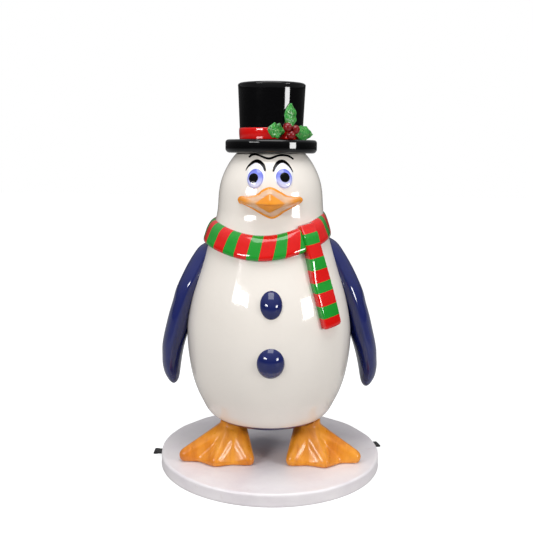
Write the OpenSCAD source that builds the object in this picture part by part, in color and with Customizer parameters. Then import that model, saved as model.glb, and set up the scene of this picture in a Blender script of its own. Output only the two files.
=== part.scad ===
// Glossy fibreglass penguin display figure in a top hat and a moulded scarf, standing on a
// round plinth. +Z is up, the figure faces -Y, and the origin is the centre of the plinth's
// underside. Heights written h are measured from the top of the plinth.

/* [Plinth] */
// Diameter of the round plinth
base_d = 700; // [680:10:760]
// Thickness of the whole plinth
base_t = 40; // [38:1:46]
// Thickness of the fibreglass skin over the plinth's boards
skin_t = 5; // [4:1:6]
// Radius of the plinth's rounded top edge
base_edge = 7; // [4:1:9]

/* [Figure] */
// Sideways place of the figure's axis on the plinth
figure_x = -7; // [-12:1:12]
// Wall thickness of the fibreglass shells
wall = 5; // [4:1:6]
// Height of the joint between the bottom pan and the two body shells
pan_h = 125; // [125:1:125]
// Turn of the face and bill about the figure's axis, in degrees
face_turn = -1.5; // [-3:0.5:3]

/* [Hat] */
// Height of the underside of the brim above the plinth
brim_h = 944; // [944:1:944]
// Diameter of the brim
brim_d = 280; // [270:2:290]
// Thickness of the brim
brim_t = 40; // [34:1:44]
// Diameter of the crown at the brim
crown_low_d = 189; // [180:1:195]
// Diameter of the crown at its top
crown_top_d = 205; // [200:1:212]
// Height of the crown above the brim
crown_h = 168; // [150:1:180]
// Height of the hat band
band_w = 34; // [26:1:40]

/* [Scarf] */
// Width of the scarf along the body
scarf_w = 72; // [60:1:80]
// How far the scarf stands out from the body
scarf_t = 20; // [14:1:24]
// Length of the hanging end of the scarf, as a height
tail_len = 292; // [280:2:300]

/* [Feet] */
// Distance between the two leg axes
leg_gap = 233; // [225:1:240]
// How far the leg axes stand in front of the plinth's centre
leg_front = 66; // [60:1:72]
// Radius of a leg
leg_r = 41; // [39:1:43]

/* [Tie-down straps] */
// Width of the webbing
strap_w = 38; // [30:1:40]
// Length of a strap loop outside the plinth
strap_len = 26; // [24:1:30]

/* [Hidden] */
$fn = 64;

base_r = base_d / 2;
board_t = (base_t - skin_t) / 2;   // two equal plywood discs fill the skin
board_r = base_r - skin_t;
touch = 0.3;                       // gap between soft or curved faces
far = 600;                         // reach of the cutting solids

// Right half of the body's outline, from the edge of the flat bottom up to the brim: [r, h]
body_points = [[115, 104], [150, 110.5], [180, pan_h], [199, 146], [212, 172], [228, 206],
               [243.5, 256], [255, 325], [258.5, 400], [251.5, 465], [236.5, 530],
               [212, 603], [192.5, 665], [177, 715], [167, 757], [162.8, 790],
               [159.3, 825], [152, 862], [137, 898], [120, 926], [105, brim_h]];
body_steps = 3;                    // stretches between two points of an outline

// Seam between the white front shell and the blue back shell: a wide arc seen from the side
seam_r = 1360;
seam_front = -45;
seam_mid_h = 480;
seam_turn = -3;

// Steel posts inside the legs
post_r = 16.85;
post_wall = 3.2;
post_top = 520;
flange_r = 34;
flange_t = 8;
bolt_circle = 25.5;
bolt_r = 4;
bolt_hole_r = 4.5;
bolt_head_r = 7.2;
bolt_head_t = 5.5;
nut_t = 6.5;
washer_r = 8.5;
washer_t = 1.6;
recess_r = 11;
recess_t = 10;
brace_w = 40;
brace_t = 8;

// Webbing, folded double
web_t = 1.8;
strap_z = board_t - web_t - 0.2;
strap_gap = 0.4;
strap_pivot = base_r + web_t + strap_gap;
anchor_len = 85;
strap_turns = [178.7, 13.5];       // directions of the left and right straps
screw_places = [base_r - 35, base_r - 65];

function catmull(a, b, c, d, t) = 0.5 * (2 * b + (c - a) * t + (2 * a - 5 * b + 4 * c - d) * t * t
                                         + (3 * b - a - 3 * c + d) * t * t * t);
function spline(p, n) = concat(
    [for (i = [0 : len(p) - 2], k = [0 : n - 1])
        catmull(p[max(i - 1, 0)], p[i], p[i + 1], p[min(i + 2, len(p) - 1)], k / n)],
    [p[len(p) - 1]]);
function reversed(p) = [for (i = [len(p) - 1 : -1 : 0]) p[i]];
function arc(c, r, a0, a1, n) = [for (i = [0 : n]) let (a = a0 + (a1 - a0) * i / n)
    c + r * [cos(a), sin(a)]];
// A path moved sideways by d, to its right as it is walked
function beside(p, d) = [for (i = [0 : len(p) - 1])
    let (v = p[min(i + 1, len(p) - 1)] - p[max(i - 1, 0)])
    p[i] + d * [v[1], -v[0]] / norm(v)];

body_path = spline(body_points, body_steps);
body_table = [for (p = body_path) [p[1], p[0]]];
function body_r(h) = lookup(h, body_table);

// A closed tube of rings that all have the same number of points
module loft(rings) {
    n = len(rings[0]);
    m = len(rings);
    sides = [for (i = [0 : m - 2], k = [0 : n - 1], f = [0, 1])
        f == 0 ? [i * n + k, i * n + (k + 1) % n, (i + 1) * n + k]
               : [i * n + (k + 1) % n, (i + 1) * n + (k + 1) % n, (i + 1) * n + k]];
    ends = [[for (k = [n - 1 : -1 : 0]) k], [for (k = [0 : n - 1]) (m - 1) * n + k]];
    polyhedron([for (r = rings) each r], concat(sides, ends), convexity = 6);
}

// A ring of sections that closes on itself
module loop_loft(rings) {
    n = len(rings[0]);
    m = len(rings);
    polyhedron([for (r = rings) each r],
        [for (i = [0 : m - 1], k = [0 : n - 1], f = [0, 1]) let (j = (i + 1) % m)
            f == 0 ? [i * n + k, j * n + k, i * n + (k + 1) % n]
                   : [i * n + (k + 1) % n, j * n + k, j * n + (k + 1) % n]],
        convexity = 6);
}

module on_plinth() translate([0, 0, base_t]) children();
module on_figure() translate([figure_x, 0, base_t]) children();

module body_solid(grow = 0) {
    path = beside(body_path, grow);
    rotate_extrude($fn = 96)
        polygon(concat([[0, path[0][1]]], path, [[0, path[len(path) - 1][1]]]));
}

// The body's wall and its flat bottom, between two heights
module body_wall(low, high) rotate_extrude($fn = 96) intersection() {
    polygon(concat([[0, body_path[0][1]]], body_path,
        reversed(beside(body_path, -wall)), [[0, body_path[0][1] + wall]]));
    translate([0, low]) square([far, high - low]);
}

module behind_seam() {
    rotate([0, 0, seam_turn]) translate([0, seam_front + seam_r, seam_mid_h])
        rotate([0, 90, 0]) cylinder(r = seam_r, h = 2 * far, center = true, $fn = 180);
}

// ---- plinth ----

module at_straps() {
    for (a = strap_turns) rotate([0, 0, a]) children();
}

module at_bolts() {
    for (s = [-1, 1], k = [0 : 2])
        translate([s * leg_gap / 2, -leg_front, 0]) rotate([0, 0, 90 + 120 * k])
            translate([bolt_circle, 0, 0]) children();
}

module bolt_holes() {
    at_bolts() translate([0, 0, -1]) cylinder(r = bolt_hole_r, h = base_t + 2, $fn = 32);
}

module base_skin() color([0.84, 0.81, 0.83]) difference() {
    rotate_extrude($fn = 180) polygon(concat(
        [[board_r, 0], [base_r, 0]],
        arc([base_r - base_edge, base_t - base_edge], base_edge, 0, 90, 6),
        [[0, base_t], [0, base_t - skin_t], [board_r, base_t - skin_t]]));
    bolt_holes();
    at_straps() translate([board_r - 1, -strap_w / 2 - 1, strap_z - web_t - 0.2])
        cube([skin_t + 3, strap_w + 2, 2 * web_t + 0.4]);
}

module base_board_upper() color([0.72, 0.56, 0.38]) difference() {
    translate([0, 0, board_t]) cylinder(r = board_r, h = board_t, $fn = 180);
    bolt_holes();
    at_straps() for (x = screw_places) translate([x, 0, 0]) cylinder(r = 5.5, h = board_t + 3, $fn = 32);
}

module base_board_lower() color([0.70, 0.54, 0.36]) difference() {
    cylinder(r = board_r, h = board_t, $fn = 180);
    bolt_holes();
    at_bolts() translate([0, 0, -1]) cylinder(r = recess_r, h = recess_t + 1, $fn = 32);
    at_straps() {
        translate([base_r - anchor_len - 2, -strap_w / 2 - 1, strap_z - web_t - 0.2])
            cube([anchor_len + 10, strap_w + 2, 10]);
        for (x = screw_places) translate([x, 0, 3]) cylinder(r = 2.5, h = board_t, $fn = 24);
    }
}

module strap_anchor(turn) color([0.04, 0.04, 0.045]) rotate([0, 0, turn]) difference() {
    translate([base_r - anchor_len, -strap_w / 2, strap_z - web_t])
        cube([anchor_len, strap_w, 2 * web_t]);
    for (x = screw_places)
        translate([x, 0, strap_z - 2 * web_t]) cylinder(r = 2.6, h = 4 * web_t, $fn = 24);
}

module strap_screws() color([0.75, 0.75, 0.76]) at_straps() for (x = screw_places) {
    translate([x, 0, 4]) cylinder(r = 2.4, h = strap_z + web_t - 4, $fn = 24);
    translate([x, 0, strap_z + web_t]) cylinder(r = 5, h = 2.5, $fn = 32);
}

// Half-thickness of the folded loop at a distance s from its pivot
function loop_half(s) = s < 9 ? web_t : web_t + 2 * sin(90 * min(1, (s - 9) / 9));
// The loop has a round end on its pivot, and an open bight at its nose
module strap_loop(turn) {
    nose = loop_half(strap_len);
    body = strap_len - nose;
    stations = [for (s = [0 : 2 : body]) s];
    outer = concat([for (s = stations) [s, loop_half(s)]],
        arc([body, 0], nose, 80, -80, 8),
        [for (s = reversed(stations)) [s, -loop_half(s)]]);
    inner = concat([[10, 0]], [for (s = stations) if (s > 10) [s, loop_half(s) - web_t]],
        arc([body, 0], nose - web_t, 80, -80, 6),
        [for (s = reversed(stations)) if (s > 10) [s, web_t - loop_half(s)]]);
    color([0.045, 0.045, 0.05])
        rotate([0, 0, turn]) translate([strap_pivot, 0, strap_z]) rotate([90, 0, 0]) {
            cylinder(r = web_t, h = strap_w, center = true, $fn = 32);
            linear_extrude(strap_w, center = true) difference() {
                polygon(outer);
                polygon(inner);
            }
        }
}

// ---- feet and steelwork ----

// The outer toe of a foot points at s, which is -1 or 1
module foot(s) {
    // Each toe, and each low point of the web beside it: [out, y, h, radius]
    toes = [[262, -122, 19, 20], [166, -160, 14, 18], [66, -148, 16, 19]];
    webs = [[0, 216, -126, 7, 12], [1, 216, -126, 7, 12],
            [1, 116, -148, 7, 12], [2, 116, -148, 7, 12]];
    pocket_h = 18;
    color([0.90, 0.56, 0.14]) difference() {
        intersection() {
            union() {
                for (t = toes) hull() {
                    translate([s * leg_gap / 2, -leg_front, 92]) cylinder(r = leg_r, h = 10, $fn = 32);
                    translate([s * t[0], t[1], t[2]]) sphere(r = t[3], $fn = 24);
                }
                for (w = webs) let (t = toes[w[0]]) hull() {
                    translate([s * leg_gap / 2, -leg_front, 0]) cylinder(r = leg_r, h = 90, $fn = 32);
                    translate([s * t[0], t[1], t[2] - 4]) sphere(r = t[3] - 1, $fn = 20);
                    translate([s * w[1], w[2], w[3]]) sphere(r = w[4], $fn = 20);
                }
                translate([s * leg_gap / 2, -leg_front, 0]) cylinder(r = leg_r, h = 130, $fn = 32);
            }
            translate([-far, -far, 0]) cube([2 * far, 2 * far, far]);
        }
        translate([figure_x, 0, 0]) body_solid(touch);
        translate([s * leg_gap / 2, -leg_front, -1]) {
            cylinder(r = flange_r + 1, h = pocket_h + 1);
            cylinder(r = post_r + 0.1, h = 200);
        }
    }
}

module leg_post(s) color([0.55, 0.56, 0.58])
    on_plinth() translate([s * leg_gap / 2, -leg_front, 0]) difference() {
        union() {
            cylinder(r = flange_r, h = flange_t);
            cylinder(r = post_r, h = post_top);
        }
        translate([0, 0, flange_t + 2]) cylinder(r = post_r - post_wall, h = post_top);
        for (k = [0 : 2]) rotate([0, 0, 90 + 120 * k]) translate([bolt_circle, 0, -1])
            cylinder(r = bolt_hole_r, h = flange_t + 2, $fn = 32);
    }

module cross_brace(h) color([0.50, 0.51, 0.53])
    on_plinth() translate([0, -leg_front, h]) difference() {
        cube([leg_gap, brace_t, brace_w], center = true);
        for (s = [-1, 1]) translate([s * leg_gap / 2, 0, 0])
            cylinder(r = post_r, h = brace_w + 2, center = true);
    }

module flange_bolts() color([0.78, 0.78, 0.80]) at_bolts() {
    translate([0, 0, 1.5]) cylinder(r = bolt_r, h = base_t + flange_t - 1.5, $fn = 32);
    translate([0, 0, base_t + flange_t]) cylinder(r = bolt_head_r, h = bolt_head_t, $fn = 6);
}

module flange_washers() color([0.80, 0.80, 0.82]) at_bolts() difference() {
    translate([0, 0, recess_t - washer_t]) cylinder(r = washer_r, h = washer_t, $fn = 32);
    cylinder(r = bolt_r + 0.1, h = base_t, $fn = 32);
}

module flange_nuts() color([0.76, 0.76, 0.78]) at_bolts() difference() {
    translate([0, 0, recess_t - washer_t - nut_t]) cylinder(r = bolt_head_r, h = nut_t, $fn = 6);
    cylinder(r = bolt_r + 0.02, h = base_t, $fn = 32);
}

// ---- body ----

module bottom_pan() color([0.12, 0.15, 0.38]) difference() {
    on_figure() body_wall(0, pan_h);
    on_plinth() for (s = [-1, 1]) translate([s * leg_gap / 2, -leg_front, 60])
        cylinder(r = post_r + 0.15, h = 120);
}

module front_shell() color([0.92, 0.90, 0.88]) on_figure() difference() {
    body_wall(pan_h, brim_h);
    behind_seam();
}

module back_shell() color([0.12, 0.15, 0.38]) on_figure() intersection() {
    body_wall(pan_h, brim_h);
    behind_seam();
}

// A short blunt tail bonded low on the back
module tail() color([0.12, 0.15, 0.38]) on_figure() difference() {
    hull() {
        translate([0, 178, 168]) scale([1.6, 1, 1]) sphere(r = 40, $fn = 24);
        translate([0, 248, 124]) scale([1.7, 1, 0.6]) sphere(r = 17, $fn = 24);
    }
    body_solid(touch);
}

// Sections of a flipper from the shoulder down: [h, distance out, half-thickness, half-depth, y]
flipper_sections = [[668, 172, 22, 26, 2], [655, 186, 32, 42, 0], [635, 198, 37, 54, -2],
                    [597, 219, 39, 66, -2], [559, 237, 40, 74, 0], [520, 254, 40, 80, 2],
                    [481, 267, 38, 84, 4], [442, 279, 38, 86, 6], [403, 289, 38, 86, 8],
                    [365, 299, 37, 85, 10], [335, 306, 35, 81, 12], [306, 310, 32, 75, 14],
                    [282, 312.5, 30, 67, 16], [260, 313, 27, 56, 18], [242, 312, 23.5, 44, 19],
                    [226, 310, 18, 31, 20], [215, 309, 12, 19, 20], [209, 308.5, 6, 9, 20]];

// s is -1 for the flipper at -X and 1 for the one at +X. The two differ a little: the tip hangs
// lower by drop and further out by swing, and the shoulder is higher and closer in by rise.
module flipper(s, drop, swing, rise) {
    points = 24;
    rings = [for (f = flipper_sections)
        let (low = ease((400 - f[0]) / 190), high = ease((f[0] - 600) / 68))
        [for (k = [0 : points - 1]) let (a = 360 * k / points)
            [s * (f[1] + swing * low - 0.6 * rise * high) + f[2] * cos(a), f[4] + f[3] * sin(a),
             f[0] - drop * low + rise * high]]];
    color([0.12, 0.15, 0.38]) on_figure() difference() {
        loft(reversed(rings));
        body_solid(touch);
        scarf_band();
    }
}

// ---- scarf ----

// Middle height of the scarf: it dips in front, and is a little higher on the +X side
function scarf_mid(a) = 720 + 11 * sin(a) - 45.5 * pow((1 + cos(a + 4)) / 2, 5);
// The scarf lies flatter past its hanging end, on the +X side
function scarf_full(a) = 1 - 0.55 * ease((a - 48) / 30) * ease((160 - a) / 40);
// A point of the scarf's section: u runs up along the body, and out stands off from it
function scarf_point(a, u, out) = let (h = scarf_mid(a) + u,
    r = body_r(h) + max(0.4, out * scarf_full(a)))
    [r * sin(a), -r * cos(a), h];
scarf_edge = scarf_w / 2;
scarf_section = [[-scarf_edge + 2, 0.4], [0, 0.4], [scarf_edge - 2, 0.4],
                 [scarf_edge, scarf_t * 0.3], [scarf_edge - 3, scarf_t * 0.64],
                 [scarf_edge - 11, scarf_t * 0.88], [0, scarf_t],
                 [-scarf_edge + 11, scarf_t], [-scarf_edge + 3, scarf_t * 0.8],
                 [-scarf_edge, scarf_t * 0.4]];

module scarf_band()
    loop_loft([for (a = [0 : 5 : 355]) [for (q = scarf_section) scarf_point(a, q[0], q[1])]]);
module scarf_wrap() color([0.85, 0.10, 0.09]) on_figure() scarf_band();

// The hanging end of the scarf: its direction, its half-width as an angle, and how far its
// front stands out from the body, which is further where it crosses over the wrap
tail_top = 740;
function ease(t) = let (u = max(0, min(1, t))) u * u * (3 - 2 * u);
function tail_turn(h) = 38.4 - 2.8 * ease((h - 570) / 170)
    + 5.2 * pow((tail_top - h) / tail_len, 2.2);
function tail_half(h) = (32 - 9 * ease((h - 560) / 100)) / body_r(h) * 180 / PI;
function tail_out(h) = scarf_t + 2 + 8 * ease((h - 560) / 90) - 14 * ease((h - 706) / 36);
module scarf_tail() {
    round = 5;
    slant = 0.6;                   // rise of the hem towards +X, per degree
    stations = [for (k = [0 : 16]) tail_top - tail_len * k / 16];
    rings = [for (h = stations)
        let (w = tail_half(h), e = round / body_r(h) * 180 / PI, out = tail_out(h))
        [for (q = [[-w, 0.4], [-w, out - round], [-w + e, out], [0, out + 1], [w - e, out],
                   [w, out - round], [w, 0.4], [0, 1.5]])
            let (a = tail_turn(h) + q[0], lift = h + slant * q[0], r = body_r(lift) + q[1])
            [r * sin(a), -r * cos(a), lift]]];
    color([0.20, 0.62, 0.26]) on_figure() difference() {
        loft(rings);
        scarf_band();
    }
}

// ---- buttons and face ----

// A point that stands off from the body's surface, x along it sideways and up along it
function surface_point(turn, h, x, up, out) = let (r = body_r(h + up) + out,
    a = turn + x / body_r(h + up) * 180 / PI) [r * sin(a), -r * cos(a), h + up];

// An oval dome that lies on the body, its back cut to the body's curve
module dome(turn, h, half_w, half_h, depth) {
    points = 28;
    levels = 7;
    sunk = 2;
    pole = 0.03;                   // size of the small ring that closes each end
    rims = concat([[pole, -sunk], [1, -sunk], [1, touch]],
        [for (k = [1 : levels]) let (a = 90 * k / levels) [max(pole, cos(a)), touch + depth * sin(a)]]);
    difference() {
        loft([for (q = rims) [for (k = [0 : points - 1]) let (a = -360 * k / points)
            surface_point(turn, h, half_w * q[0] * cos(a), half_h * q[0] * sin(a), q[1])]]);
        body_solid(touch);
    }
}

module button_upper() color([0.11, 0.14, 0.36]) on_figure() dome(1, 517, 32, 40, 16);
module button_lower() color([0.11, 0.14, 0.36]) on_figure() dome(1, 350, 40, 45, 19);
module eye(s) color([0.93, 0.94, 0.98]) on_figure() dome(face_turn + s * 16.4, 881, 28, 40, 6);

mouth_h = 807;
module bill(front, tall) {
    corner_x = 87;
    hull() {
        for (s = [-1, 1]) translate([s * corner_x, -134, 809]) sphere(r = 7, $fn = 24);
        translate([0, -158, tall]) sphere(r = 7, $fn = 24);
        translate(front) sphere(r = 9, $fn = 24);
        for (s = [-1, 1]) translate([s * 26, front[1] + 16, front[2]]) sphere(r = 8, $fn = 24);
    }
}

module beak_upper() color([0.93, 0.58, 0.16]) on_figure() rotate([0, 0, face_turn]) difference() {
    bill([0, -214, 812], 840);
    body_solid(touch / 2);
    translate([-far, -far, mouth_h - far]) cube([2 * far, 2 * far, far]);
}

module beak_lower() color([0.91, 0.55, 0.15]) on_figure() rotate([0, 0, face_turn]) difference() {
    bill([0, -196, 795], 764);
    body_solid(touch / 2);
    translate([-far, -far, mouth_h]) cube([2 * far, 2 * far, far]);
}

// ---- hat ----

function crown_r(up) = (crown_low_d + (crown_top_d - crown_low_d) * up / crown_h) / 2;

module hat_brim() {
    edge = 9;
    r = brim_d / 2;
    color([0.03, 0.03, 0.03]) on_figure() rotate_extrude($fn = 120) polygon(concat(
        [[60, brim_h]],
        arc([r - edge, brim_h + edge], edge, -90, 0, 6),
        arc([r - edge, brim_h + brim_t - edge], edge, 0, 90, 6),
        [[60, brim_h + brim_t]]));
}

module hat_crown() {
    edge = 7;
    low = brim_h + brim_t;
    top = low + crown_h;
    color([0.03, 0.03, 0.03]) on_figure() rotate_extrude($fn = 120) polygon(concat(
        [[crown_r(0) - wall, low], [crown_r(0), low]],
        arc([crown_r(crown_h - edge) - edge, top - edge], edge, 0, 90, 6),
        [[0, top], [0, top - wall], [crown_r(crown_h - wall) - wall, top - wall]]));
}

module hat_band() {
    up = 0.5;
    low = brim_h + brim_t + up;
    bulge = 2.6;
    color([0.85, 0.08, 0.08]) on_figure() rotate_extrude($fn = 120) polygon([
        [crown_r(up), low],
        [crown_r(up) + bulge * 0.6, low],
        [crown_r(2) + bulge, low + 2],
        [crown_r(band_w / 2) + bulge + 0.4, low + band_w / 2],
        [crown_r(band_w - 2) + bulge, low + band_w - 2],
        [crown_r(band_w) + bulge * 0.6, low + band_w],
        [crown_r(up + band_w), low + band_w]]);
}

// A leaf with a wavy edge, its stalk end at the origin and its tip up
module leaf(long, wide) {
    n = 16;
    side = [for (k = [0 : n]) let (t = k / n)
        [wide / 2 * pow(sin(180 * t), 0.7) * (1 + 0.09 * cos(360 * 3 * t)), long * t]];
    linear_extrude(5) polygon(concat(side, [for (p = reversed(side)) [-p[0], p[1]]]));
}

// Puts a leaf flat against the hat: its direction round the hat, height, lean and distance
module on_hat(turn, h, lean, off) {
    rotate([0, 0, turn]) translate([0, -off, h]) rotate([90, 0, 0]) rotate([0, 0, lean]) children();
}

leaf_off = crown_top_d / 2 + 1;
module holly_leaf_top() color([0.18, 0.62, 0.22]) on_figure() on_hat(31, 1014, 2, leaf_off) leaf(74, 40);
module holly_leaf_left() color([0.17, 0.58, 0.21]) on_figure() on_hat(20, 1006, 82, leaf_off + 5.5)
    leaf(52, 38);
module holly_leaf_right() color([0.17, 0.58, 0.21]) on_figure() on_hat(40, 1009, -97, leaf_off + 5.5)
    leaf(71, 38);

// Three berries, the lowest one seated on the brim
module holly_berries() color([0.60, 0.02, 0.03]) on_figure() difference() {
    for (b = [[-13, 1018], [14, 1013], [-1, 993]])
        rotate([0, 0, 31]) translate([b[0], -leaf_off - 23, b[1]]) sphere(r = 12.4, $fn = 32);
    translate([0, 0, brim_h]) cylinder(r = brim_d / 2, h = brim_t);
}

// ---- what is drawn ----

base_skin();
base_board_upper();
base_board_lower();
on_plinth() foot(-1);  // foot_left
on_plinth() foot(1);  // foot_right
leg_post(-1);  // leg_post_left
leg_post(1);  // leg_post_right
cross_brace(300);  // cross_brace_lower
cross_brace(490);  // cross_brace_upper
flange_bolts();
flange_washers();
flange_nuts();
bottom_pan();
front_shell();
back_shell();
tail();
flipper(-1, 3, -2, 0);  // flipper_left
flipper(1, 6, 7, 18);  // flipper_right
scarf_wrap();
scarf_tail();
button_upper();
button_lower();
eye(-1);  // eye_left
eye(1);  // eye_right
beak_upper();
beak_lower();
hat_brim();
hat_crown();
hat_band();
holly_leaf_top();
holly_leaf_left();
holly_leaf_right();
holly_berries();
strap_anchor(strap_turns[0]);  // strap_anchor_left
strap_anchor(strap_turns[1]);  // strap_anchor_right
strap_screws();
strap_loop(strap_turns[0]);  // strap_loop_left
strap_loop(strap_turns[1]);  // strap_loop_right
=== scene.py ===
"""Looks for the glossy penguin display figure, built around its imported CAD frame.

Lengths are metres in the CAD frame; heights written h are millimetres above the plinth's top,
as in the CAD source, and mm() turns millimetres into metres.
"""

import math

import bmesh
import bpy
import numpy as np
from mathutils import Matrix, Vector, noise


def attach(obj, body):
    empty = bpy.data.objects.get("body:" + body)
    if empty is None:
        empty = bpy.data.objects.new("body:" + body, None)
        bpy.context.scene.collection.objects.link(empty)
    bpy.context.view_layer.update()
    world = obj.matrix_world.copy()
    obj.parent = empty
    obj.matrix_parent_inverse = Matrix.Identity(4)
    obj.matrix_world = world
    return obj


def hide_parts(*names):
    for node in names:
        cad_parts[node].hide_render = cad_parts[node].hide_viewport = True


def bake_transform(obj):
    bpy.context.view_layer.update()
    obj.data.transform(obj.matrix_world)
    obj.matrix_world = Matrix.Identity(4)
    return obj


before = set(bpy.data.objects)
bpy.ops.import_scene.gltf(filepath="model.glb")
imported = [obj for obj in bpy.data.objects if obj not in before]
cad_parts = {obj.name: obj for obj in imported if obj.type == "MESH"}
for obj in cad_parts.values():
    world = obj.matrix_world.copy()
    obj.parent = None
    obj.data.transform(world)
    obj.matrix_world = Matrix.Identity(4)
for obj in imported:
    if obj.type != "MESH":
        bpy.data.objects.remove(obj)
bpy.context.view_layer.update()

MM = 0.001
BASE_T = 40.0  # plinth thickness, mm
AXIS_X = -7.0  # the figure's axis, mm
WALL = 5.0
PLINTH_R = 350.0
POST_X, POST_Y = 116.5, -66.0  # the leg posts stand at -POST_X and POST_X
STRAP_TURNS = {"left": 178.7, "right": 13.5}
STRAP_Z = 15.5


def to_world(x, y, h):
    """A point given in mm about the figure's axis, h above the plinth, in metres."""
    return Vector(((x + AXIS_X) * MM, y * MM, (h + BASE_T) * MM))


def add_object(name, data):
    obj = bpy.data.objects.new(name, data)
    bpy.context.scene.collection.objects.link(obj)
    return obj


# -------- camera and light

CAMERA_AT = (-0.0173, -2.3437, 0.9946)
LENS = 51.02
PITCH = 0.1536
ROLL = 0.0108


def make_camera():
    right = Vector((1, 0, 0))
    up = Vector((0, math.sin(PITCH), math.cos(PITCH)))
    forward = Vector((0, math.cos(PITCH), -math.sin(PITCH)))
    x_axis = math.cos(ROLL) * right + math.sin(ROLL) * up
    y_axis = -math.sin(ROLL) * right + math.cos(ROLL) * up
    data = bpy.data.cameras.new("camera")
    data.sensor_width = 36
    data.lens = LENS
    cam = add_object("camera", data)
    cam.matrix_world = Matrix(
        (
            (x_axis.x, y_axis.x, -forward.x, CAMERA_AT[0]),
            (x_axis.y, y_axis.y, -forward.y, CAMERA_AT[1]),
            (x_axis.z, y_axis.z, -forward.z, CAMERA_AT[2]),
            (0, 0, 0, 1),
        )
    )
    bpy.context.scene.camera = cam


def area_light(name, azimuth, elevation, distance, size, power):
    """A softbox that faces the middle of the figure. Azimuth 0 is straight in front."""
    a, e = math.radians(azimuth), math.radians(elevation)
    centre = Vector((0, 0, 0.62))
    out = Vector((math.sin(a) * math.cos(e), -math.cos(a) * math.cos(e), math.sin(e)))
    data = bpy.data.lights.new(name, "AREA")
    data.shape = "RECTANGLE"
    data.size, data.size_y = size
    data.energy = power
    lamp = add_object(name, data)
    lamp.location = centre + distance * out
    lamp.rotation_euler = (-out).to_track_quat("-Z", "Y").to_euler()


def make_world():
    """A soft grey dome that lights the figure, and plain white where the camera sees it."""
    world = bpy.data.worlds.new("studio")
    bpy.context.scene.world = world
    world.use_nodes = True
    nodes, link = world.node_tree.nodes, world.node_tree.links.new
    back = nodes["Background"]
    coords = nodes.new("ShaderNodeTexCoord")
    split = nodes.new("ShaderNodeSeparateXYZ")
    sky = nodes.new("ShaderNodeValToRGB")
    sky.color_ramp.elements[0].position = 0.5
    sky.color_ramp.elements[0].color = (0.05, 0.05, 0.05, 1)
    sky.color_ramp.elements[1].position = 1.0
    sky.color_ramp.elements[1].color = (0.66, 0.67, 0.69, 1)
    half = nodes.new("ShaderNodeMath")
    half.operation = "MULTIPLY_ADD"
    half.inputs[1].default_value = 0.5
    half.inputs[2].default_value = 0.5
    link(coords.outputs["Generated"], split.inputs[0])
    link(split.outputs["Z"], half.inputs[0])
    link(half.outputs[0], sky.inputs["Fac"])
    link(sky.outputs["Color"], back.inputs["Color"])
    back.inputs["Strength"].default_value = 1.0
    white = nodes.new("ShaderNodeBackground")
    white.inputs["Color"].default_value = (1, 1, 1, 1)
    path = nodes.new("ShaderNodeLightPath")
    pick = nodes.new("ShaderNodeMixShader")
    link(path.outputs["Is Camera Ray"], pick.inputs[0])
    link(back.outputs[0], pick.inputs[1])
    link(white.outputs[0], pick.inputs[2])
    link(pick.outputs[0], nodes["World Output"].inputs["Surface"])


make_camera()
make_world()
area_light("softbox_left", -43, 17.5, 3.0, (1.2, 0.42), 37)
area_light("softbox_right", 54, 10, 3.0, (0.85, 0.6), 35)
area_light("softbox_top", 0, 72, 2.6, (1.9, 1.6), 36)
bpy.context.scene.view_settings.view_transform = "Standard"

# -------- materials


def srgb(r, g, b):
    """An 8-bit display colour as linear RGBA."""

    def linear(c):
        c /= 255
        return c / 12.92 if c <= 0.04045 else ((c + 0.055) / 1.055) ** 2.4

    return (linear(r), linear(g), linear(b), 1.0)


def shade(colour, k):
    return tuple(min(1.0, c * k) for c in colour[:3]) + (1.0,)


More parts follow.
